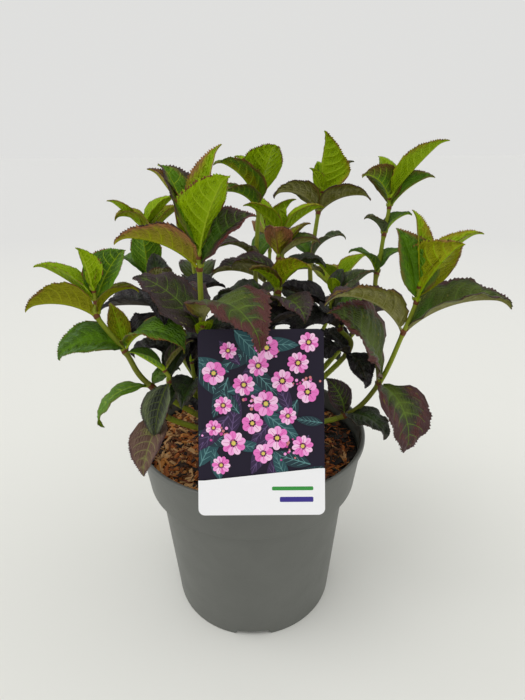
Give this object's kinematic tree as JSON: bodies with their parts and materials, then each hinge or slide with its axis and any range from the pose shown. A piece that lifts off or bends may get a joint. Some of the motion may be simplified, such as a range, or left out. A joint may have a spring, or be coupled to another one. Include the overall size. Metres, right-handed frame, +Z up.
{
  "type": "potted hydrangea",
  "caption": "Young leafy flowering shrub without blooms in a grey plastic nursery pot of bark mix, with a picture card hooked over the rim.",
  "frame": {"origin": "middle of the flat disc under the pot, which stands on the ground", "axes": "+Z up along the pot's axis, -Y towards the picture card and the viewer, +X to the viewer's right"},
  "size_m": [0.3931, 0.3281, 0.4577],
  "materials": {
    "pot_plastic": "matte grey moulded plastic",
    "potting_mix": "coarse bark and wood fibre",
    "card": "glossy printed card",
    "bark": "rough bark",
    "stem": "smooth green bark",
    "foliage": "leathery leaves with sunken veins"
  },
  "bodies": {
    "root": {"pot": "pot_plastic", "soil": "potting_mix", "label_card": "card", "stub_left": "bark", "stub_front": "bark", "stub_right": "bark", "stub_back": "bark", "stem_left": "stem", "stem_front": "stem", "stem_right": "stem", "stem_middle": "stem", "stem_upper": "stem", "stem_back_middle": "stem", "stem_back_right": "stem", "stem_back_left": "stem", "stem_small": "stem", "stem_dark": "stem", "stem_inner_left": "stem", "stem_inner_front": "stem", "stem_low_left": "stem", "stem_low_inner": "stem", "stem_rear_left": "stem", "stem_rear": "stem", "stem_rear_right": "stem", "stem_low_back": "stem", "foliage_left": "foliage", "foliage_front": "foliage", "foliage_right": "foliage", "foliage_middle": "foliage", "foliage_upper": "foliage", "foliage_back_middle": "foliage", "foliage_back_right": "foliage", "foliage_back_left": "foliage", "foliage_small": "foliage", "foliage_dark": "foliage", "foliage_inner_left": "foliage", "foliage_inner_front": "foliage", "foliage_low_left": "foliage", "foliage_low_inner": "foliage", "foliage_rear_left": "foliage", "foliage_rear": "foliage", "foliage_rear_right": "foliage", "foliage_low_back": "foliage"}
  },
  "joints": []
}
